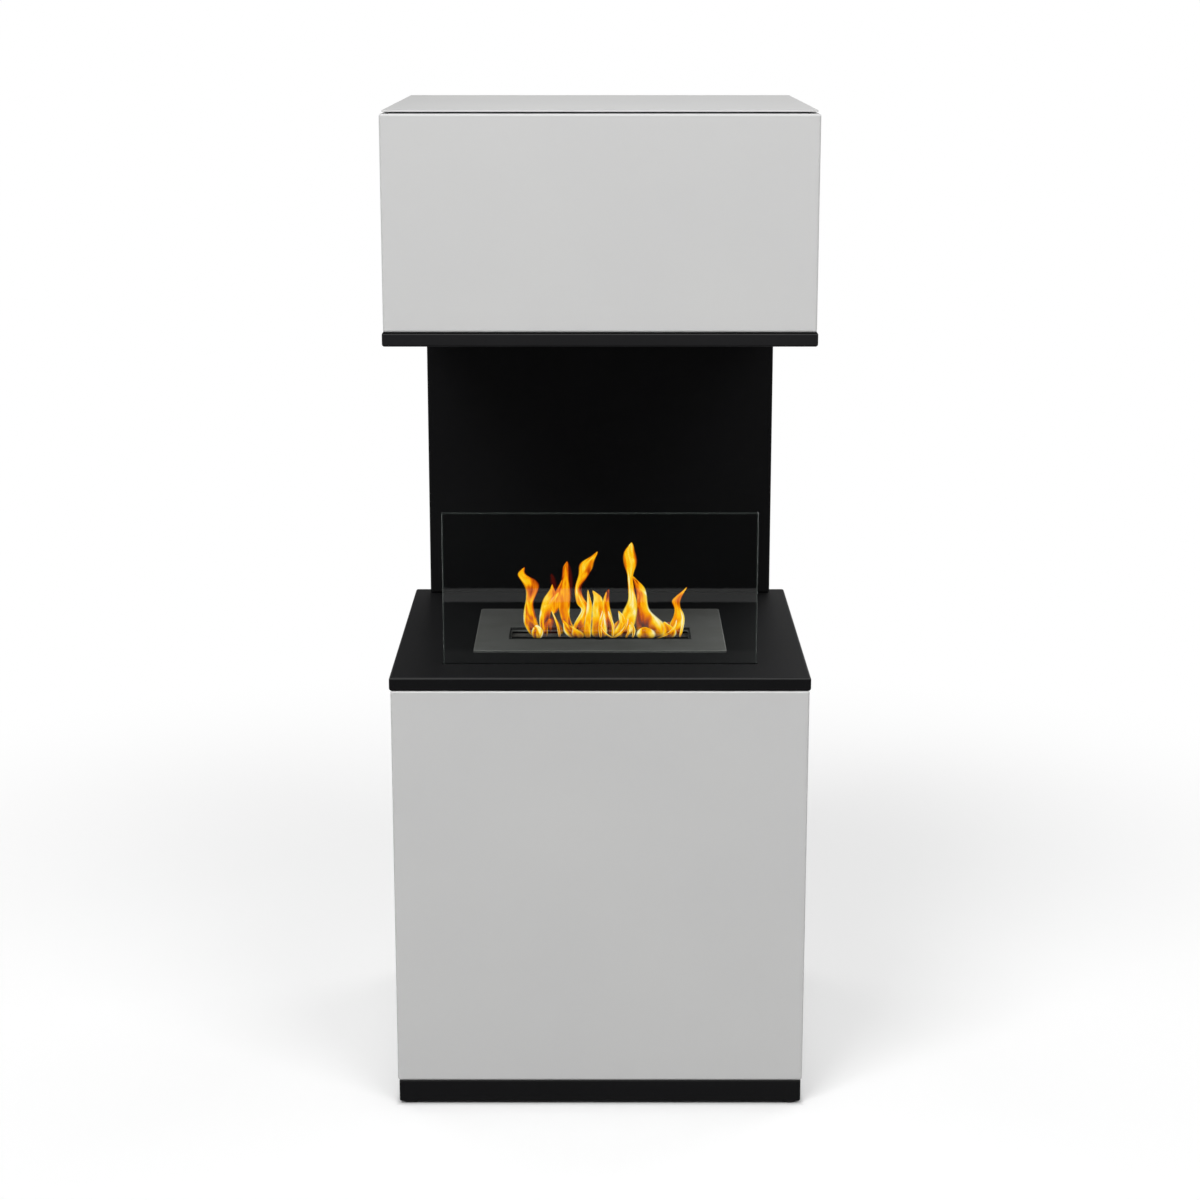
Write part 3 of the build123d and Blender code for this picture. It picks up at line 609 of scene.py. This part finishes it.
flames = {
    "flame_1": (-30, 0.78, 0.34, [
        (-80, -4, 14), (-83, 5, 19), (-88, 14, 19), (-89, 26, 17), (-90, 36, 12), (-89, 43, 10),
        (-87, 51, 13), (-85, 59, 17), (-86, 66, 22), (-91, 72, 20), (-97, 76, 14), (-99, 80, 10),
        (-97, 84, 5), (-94, 88, 0)]),
    "flame_2": (-34, 0.74, 0.52, [
        (-70, -4, 8), (-71, 6, 10), (-71, 15, 12), (-70, 24, 15), (-68, 34, 15), (-66, 42, 16),
        (-63, 49, 17), (-60, 55, 13), (-60, 61, 4), (-60, 68, 0)]),
    "flame_2_branch": (-27, 0.50, 0.42, [
        (-58, 26, 5), (-58, 33, 13), (-58, 40, 15), (-56, 46, 11), (-54, 51, 8), (-53, 56, 6),
        (-51, 61, 4), (-49, 66, 2), (-47, 71, 0)]),
    "flame_2_leaf": (-36, 0.82, 0.82, [
        (-65, 38, 4), (-62, 43, 6), (-58, 48, 6), (-54, 53, 4), (-51, 58, 0)]),
    "flame_3": (-30, 0.42, 0.52, [
        (-32, -4, 16), (-37, 4, 15), (-41, 12, 13), (-44, 20, 12), (-45, 29, 14), (-46, 39, 17),
        (-46, 48, 19), (-46, 56, 18), (-45, 63, 14), (-44, 71, 10), (-43, 79, 9), (-43, 86, 9),
        (-42, 90, 5), (-41, 95, 0)]),
    "flame_4": (-32, 0.72, 0.44, [
        (-27, -4, 20), (-27, 4, 19), (-27, 13, 14), (-23, 22, 11), (-19, 30, 9), (-19, 34, 11),
        (-22, 38, 16), (-25, 44, 12), (-27, 50, 10), (-28, 56, 9), (-27, 63, 9), (-24, 69, 11),
        (-21, 75, 13), (-19, 81, 16), (-18, 86, 19), (-17, 91, 19), (-14, 95, 15), (-10, 99, 9),
        (-6, 103, 5), (-2, 109, 0)]),
    "flame_4_spike": (-37, 0.72, 0.72, [
        (-15, -4, 9), (-16, 8, 9), (-15, 18, 9), (-14, 28, 8), (-13, 37, 8), (-14, 46, 5),
        (-15, 53, 3), (-15, 60, 0)]),
    "flame_5_left": (-32, 0.70, 0.66, [
        (-1, -4, 22), (-1, 5, 22), (-1, 14, 19), (-2, 24, 17), (-3, 34, 16), (-2, 43, 13),
        (-3, 49, 11), (-6, 53, 6), (-10, 58, 0)]),
    "flame_5_right": (-26, 0.62, 0.36, [
        (12, -4, 15), (12, 4, 14), (12, 13, 11), (10, 21, 12), (8, 29, 12), (7, 37, 10),
        (8, 45, 8), (9, 52, 6), (12, 60, 0)]),
    "flame_6_left": (-32, 0.70, 0.66, [
        (24, -4, 24), (28, 4, 25), (34, 13, 22), (36, 22, 21), (38, 31, 20), (40, 38, 15),
        (41, 46, 11), (40, 54, 9), (39, 63, 8), (38, 71, 7), (38, 78, 7), (38, 84, 11),
        (38, 90, 16), (38, 97, 19), (37, 104, 17), (37, 110, 13), (39, 115, 7), (40, 121, 0)]),
    "flame_6_horn": (-34, 0.86, 0.60, [
        (30, 14, 9), (28, 20, 9), (27, 25, 8), (25, 29, 4), (23, 33, 0)]),
    "flame_6_right": (-28, 0.26, 0.78, [
        (66, -4, 34), (67, 4, 42), (65, 11, 42), (61, 18, 34), (57, 25, 24), (54, 32, 17),
        (53, 39, 15), (53, 47, 14), (52, 55, 14), (50, 61, 13), (47, 66, 9), (44, 70, 5),
        (41, 76, 0)]),
    "flame_7": (-30, 0.50, 0.66, [
        (96, -4, 11), (95, 5, 17), (96, 13, 18), (99, 21, 14), (99, 28, 10), (98, 34, 8),
        (96, 39, 10), (96, 43, 12), (99, 47, 9), (103, 52, 6), (107, 56, 3), (111, 61, 0)]),
    "low_flame_left": (-40, 0.95, 0.95, [
        (-79, -4, 10), (-79, 1, 15), (-79, 6, 17), (-79, 11, 12), (-80, 16, 0)]),
    "low_flame_middle": (-36, 0.80, 0.70, [
        (-28, -4, 18), (-31, 1, 27), (-36, 6, 22), (-41, 11, 12), (-44, 15, 5), (-47, 21, 0)]),
    "low_flame_right": (-40, 0.85, 0.75, [
        (58, -4, 18), (58, 1, 28), (58, 6, 25), (57, 10, 14), (56, 13, 0)]),
    "low_flame_end": (-35, 0.80, 0.85, [
        (86, -4, 18), (89, 3, 19), (88, 9, 15), (83, 14, 8), (81, 19, 0)]),
    "low_flame_back_left": (-24, 0.40, 0.34, [
        (-62, -4, 30), (-62, 3, 34), (-61, 10, 26), (-60, 17, 13), (-60, 24, 0)]),
    "low_flame_back_middle": (-24, 0.36, 0.42, [
        (-8, -4, 34), (-8, 4, 37), (-7, 11, 28), (-6, 18, 13), (-5, 25, 0)]),
    "low_flame_back_right": (-23, 0.30, 0.40, [
        (26, -4, 32), (27, 3, 34), (29, 10, 28), (31, 17, 14), (33, 24, 0)]),
    "low_flame_back_end": (-24, 0.42, 0.36, [
        (86, -4, 34), (86, 3, 34), (86, 8, 24), (86, 12, 12), (87, 15, 0)]),
    "wisp_left": (-27, -0.22, -0.22, [
        (-57, 55, 5), (-58, 61, 9), (-59, 67, 10), (-60, 73, 7), (-61, 79, 0)]),
    "wisp_right": (-27, -0.22, -0.22, [
        (-38, 40, 4), (-37, 52, 7), (-37, 64, 8), (-38, 76, 8), (-39, 86, 5), (-41, 94, 0)]),
    "thread_1": (-41, 0.82, 0.82, [
        (-51, -2, 3), (-52, 9, 3.5), (-54, 17, 3.5), (-57, 25, 3), (-60, 31, 2), (-61, 36, 0)]),
    "thread_2": (-42, 0.82, 0.82, [
        (1, -2, 3.5), (0, 7, 4.5), (0, 15, 4.5), (2, 24, 4.5), (4, 31, 3), (4, 38, 0)]),
    "thread_3": (-41, 0.82, 0.82, [
        (16, -2, 2.5), (16, 6, 3), (17, 13, 3.5), (15, 19, 3.5), (12, 26, 3), (10, 35, 0)]),
    "thread_4": (-42, 0.82, 0.82, [
        (33, -2, 3), (35, 3, 3), (37, 9, 3), (38, 18, 0)]),
    "thread_5": (-41, 0.82, 0.82, [
        (41, -2, 3), (43, 4, 4), (43, 10, 4), (41, 15, 3), (39, 20, 0)]),
    "thread_6": (-40, 0.82, 0.82, [
        (101, -2, 3), (103, 8, 4), (105, 17, 4), (105, 25, 4), (103, 31, 3), (100, 38, 0)]),
    "thread_7": (-42, 0.82, 0.82, [
        (17, -2, 4), (22, 1, 5), (27, 5, 5), (31, 10, 4), (34, 17, 3), (36, 25, 0)]),
    "thread_8": (-42, 0.78, 0.78, [
        (16, -2, 4), (10, 1, 5), (5, 5, 4), (2, 10, 3), (0, 16, 0)]),
    "thread_9": (-41, 0.82, 0.82, [
        (72, -3, 5), (79, 0, 6), (86, 3, 6), (92, 8, 4), (95, 15, 3), (97, 24, 0)]),
}


def tongue(name, place, left, right, rings):
    """Draws a tongue up from its first ring; the last ring closes to the tip."""
    x, height, width = rings[0]
    deselect()
    bpy.ops.mesh.primitive_circle_add(
        vertices=tongue_sides,
        radius=width / 2 * mm,
        fill_type="NGON",
        location=(x * mm, place * mm, plate_top + height * mm),
    )
    flame = bpy.context.object
    flame.name = name
    bpy.ops.object.mode_set(mode="EDIT")
    bpy.ops.mesh.select_all(action="SELECT")
    bpy.ops.transform.resize(value=(1.0, tongue_depth, 1.0))
    phase = x / sway_length
    centre = (x, place, height)
    for x, height, next_width in rings[1:]:
        y = place + sway * (math.sin(height / sway_length + phase) - math.sin(phase))
        step = (x - centre[0], y - centre[1], height - centre[2])
        bpy.ops.mesh.extrude_region_move(
            TRANSFORM_OT_translate={"value": [distance * mm for distance in step]}
        )
        centre = (x, y, height)
        if next_width:
            share = next_width / width
            pivot = (x * mm, y * mm, plate_top + height * mm)
            bpy.ops.transform.resize(value=(share, share, 1.0), center_override=pivot)
            width = next_width
    bpy.ops.mesh.merge(type="COLLAPSE")
    bpy.ops.mesh.select_all(action="SELECT")
    bpy.ops.mesh.normals_make_consistent(inside=False)
    bpy.ops.object.mode_set(mode="OBJECT")
    bpy.ops.object.transform_apply(location=True, rotation=True, scale=True)
    across = flame.data.attributes.new("across", "FLOAT", "POINT").data
    warmth = flame.data.attributes.new("warmth", "FLOAT", "POINT").data
    for i, vertex in enumerate(flame.data.vertices):
        x, height, width = rings[i // tongue_sides]
        side = (vertex.co.x / mm - x) / (width / 2) if width else tip_fade
        across[i].value = side
        warmth[i].value = left + (right - left) * (side + 1) / 2
    smooth = flame.modifiers.new("smooth", "SUBSURF")
    smooth.levels = smooth.render_levels = 2
    bpy.ops.object.modifier_apply(modifier=smooth.name)
    bpy.ops.object.shade_smooth()
    return flame


streak_width = 0.9               # of a tongue's half width
streak_length = 24 * mm
streak_shift = 14 * mm           # gives tongues this far apart streaks of their own
foot_height = 30 * mm
rim_height = 60 * mm
fade_in = (-3 * mm, 5 * mm)      # a foot fades in between these heights at the plate
vapour_glow = 1.15
thin_height = 26 * mm            # a foot is see-through up to here
foot_thinness = 0.75             # how much of its coolest vapour is let through
firm_to = 0.72                   # of the half width: vapour thins out from here to its side

material = bpy.data.materials.new("burning_vapour")
tree = empty_tree(material)
place = add(tree, "ShaderNodeTexCoord").outputs["Object"]
place = add(tree, "ShaderNodeSeparateXYZ", {"Vector": place}).outputs
across = add(tree, "ShaderNodeAttribute", attribute_name="across").outputs["Fac"]
warmth = add(tree, "ShaderNodeAttribute", attribute_name="warmth").outputs["Fac"]
edge = add(tree, "ShaderNodeMath", {0: across}, operation="ABSOLUTE").outputs[0]

# Streaks run along a tongue and bend with it.
run = add(tree, "ShaderNodeMath", {0: place["Z"], 1: streak_length}, operation="DIVIDE").outputs[0]
shift = {0: place["X"], 1: 1 / streak_shift}
shift = add(tree, "ShaderNodeMath", shift, operation="MULTIPLY").outputs[0]
side = add(tree, "ShaderNodeMath", {0: across, 1: streak_width}, operation="DIVIDE").outputs[0]
streaks = add(tree, "ShaderNodeCombineXYZ", {"X": side, "Y": shift, "Z": run}).outputs[0]
streaks = {"Vector": streaks, "Scale": 0.9, "Detail": 1.5, "Distortion": 0.7}
streaks = add(tree, "ShaderNodeTexNoise", streaks).outputs[0]
streaks = {"Value": streaks, "From Min": 0.3, "From Max": 0.7}
streaks = {**streaks, "To Min": -0.30, "To Max": 0.30}
streaks = add(tree, "ShaderNodeMapRange", streaks, clamp=False).outputs[0]
heat = add(tree, "ShaderNodeMath", {0: warmth, 1: streaks}, operation="ADD").outputs[0]

# The middle of a foot is cool and its sides are hot; higher up the sides are the cool part.
foot = {"Value": place["Z"], "From Min": plate_top, "From Max": plate_top + foot_height}
foot = add(tree, "ShaderNodeMapRange", {**foot, "To Min": -0.32, "To Max": 0.0}).outputs[0]
heat = add(tree, "ShaderNodeMath", {0: heat, 1: foot}, operation="ADD").outputs[0]
rim = {"Value": place["Z"], "From Min": plate_top, "From Max": plate_top + rim_height}
rim = add(tree, "ShaderNodeMapRange", {**rim, "To Min": 0.60, "To Max": -0.18}).outputs[0]
sides = add(tree, "ShaderNodeMath", {0: edge, 1: 3.0}, operation="POWER").outputs[0]
heat = {0: sides, 1: rim, 2: heat}
heat = add(tree, "ShaderNodeMath", heat, operation="MULTIPLY_ADD").outputs[0]

ramp = add(tree, "ShaderNodeValToRGB", {"Fac": heat})
for spot, colour in (
    (0.12, "#B93A02"), (0.28, "#EE6604"), (0.42, "#FA8808"), (0.56, "#FFA70C"),
    (0.70, "#FFC114"), (0.85, "#FFDC50"),
):
    ramp.color_ramp.elements.new(spot).color = linear(colour)
ramp.color_ramp.elements[0].color = linear("#8E1A04")
ramp.color_ramp.elements[-1].color = linear("#FFF4C0")

# Hot vapour hides what is behind it, and its sides are blurred. The wisps, which are the
# coolest pieces, are blurred all over.
solid = {"Value": heat, "From Min": 0.1, "From Max": 0.62, "To Min": 0.14, "To Max": 0.97}
solid = add(tree, "ShaderNodeMapRange", solid).outputs[0]
firm = {"Value": warmth, "From Min": -0.2, "From Max": 0.0, "To Min": 0.0, "To Max": firm_to}
firm = add(tree, "ShaderNodeMapRange", firm).outputs[0]
fading = {"Value": edge, "From Min": firm, "From Max": 1.0, "To Min": 1.0, "To Max": 0.05}
fading = add(tree, "ShaderNodeMapRange", fading, interpolation_type="SMOOTHSTEP").outputs[0]
solid = add(tree, "ShaderNodeMath", {0: solid, 1: fading}, operation="MULTIPLY").outputs[0]
low, high = (plate_top + level for level in fade_in)
start = {"Value": place["Z"], "From Min": low, "From Max": high}
start = add(tree, "ShaderNodeMapRange", start).outputs[0]
solid = add(tree, "ShaderNodeMath", {0: solid, 1: start}, operation="MULTIPLY").outputs[0]

# The cool vapour of a foot is thin enough to see through, between its hotter streaks.
thin = {"Value": place["Z"], "From Min": plate_top, "From Max": plate_top + thin_height}
thin = {**thin, "To Min": foot_thinness, "To Max": 0.0}
thin = add(tree, "ShaderNodeMapRange", thin, interpolation_type="SMOOTHSTEP").outputs[0]
cool = {"Value": heat, "From Min": 0.30, "From Max": 0.80, "To Min": 1.0, "To Max": 0.0}
cool = add(tree, "ShaderNodeMapRange", cool).outputs[0]
thin = add(tree, "ShaderNodeMath", {0: thin, 1: cool}, operation="MULTIPLY").outputs[0]
kept = add(tree, "ShaderNodeMath", {0: 1.0, 1: thin}, operation="SUBTRACT").outputs[0]
solid = add(tree, "ShaderNodeMath", {0: solid, 1: kept}, operation="MULTIPLY").outputs[0]

glowing = {"Color": ramp.outputs[0], "Strength": vapour_glow}
glowing = add(tree, "ShaderNodeEmission", glowing)
clear = add(tree, "ShaderNodeBsdfTransparent")
vapour = {0: solid, 1: clear.outputs[0], 2: glowing.outputs[0]}
vapour = add(tree, "ShaderNodeMixShader", vapour)
add(tree, "ShaderNodeOutputMaterial", {"Surface": vapour.outputs[0]})

for name, (place, left, right, rings) in flames.items():
    flame = tongue(name, place, left, right, rings)
    flame.data.materials.append(material)
    flame.visible_diffuse = flame.visible_glossy = flame.visible_shadow = False
    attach(flame, "burner")
    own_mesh(flame)


# Hood: the black folded plate under it with its lining, the pale casings and rear cover,
# and the flat top sheet. The plate's coat is a lighter copy of the hearth's, as painted
# light, with a brighter painted highlight on its bend; above the bend, under the casings,
# a band is painted black as a painted shadow.

# Depth of the painted shadow band at the top of the hood plate's bend.
painted_shadow_depth = 1.6 * mm
# Painted light: these tones are lighter than the black coat's, and #525252 is the painted
# highlight.
hood_painted_light_tones = ("#1B1B1C", "#202021")
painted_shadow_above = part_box("hood_plate")[1].z - painted_shadow_depth
hood_painted_light_coat = powder_coat(
    "black_powder_coat_hood_painted_light", hood_painted_light_tones, "#525252", painted_shadow_above=painted_shadow_above, **black_finish
)
dress(hood_painted_light_coat, "hood_plate")
dress(black_coat, "ceiling_sheet")
# D5D5D5 is the painted highlight on the hood casings' upper bends.
pale_coat = powder_coat("pale_powder_coat", pale_tones, "#D5D5D5", **pale_finish)
dress(pale_coat, "hood_front", "hood_left", "hood_right", "hood_rear_cover", "top_panel")


# Screws: pan heads of blackened steel. The oxide is thin, and shows a little bare metal.

oxide_patch = 1.5 * mm

material = bpy.data.materials.new("blackened_steel")
tree = empty_tree(material)
place = add(tree, "ShaderNodeTexCoord").outputs["Object"]
oxide = {"Vector": place, "Scale": 1 / oxide_patch, "Detail": 3.0}
oxide = add(tree, "ShaderNodeTexNoise", oxide).outputs[0]
tone = {0: oxide, 6: linear("#17171A"), 7: linear("#3A3A3D")}
tone = add(tree, "ShaderNodeMix", tone, data_type="RGBA").outputs[2]
dull = {"Value": oxide, "To Min": 0.3, "To Max": 0.5}
dull = add(tree, "ShaderNodeMapRange", dull).outputs[0]
screw = {"Base Color": tone, "Metallic": 0.9, "Roughness": dull}
screw = add(tree, "ShaderNodeBsdfPrincipled", screw)
add(tree, "ShaderNodeOutputMaterial", {"Surface": screw.outputs[0]})
dress(material, "cabinet_cover_screws", "hood_cover_screws", "column_cover_screws")
dress(material, "floor_screws", "hearth_screws", "hood_screws")
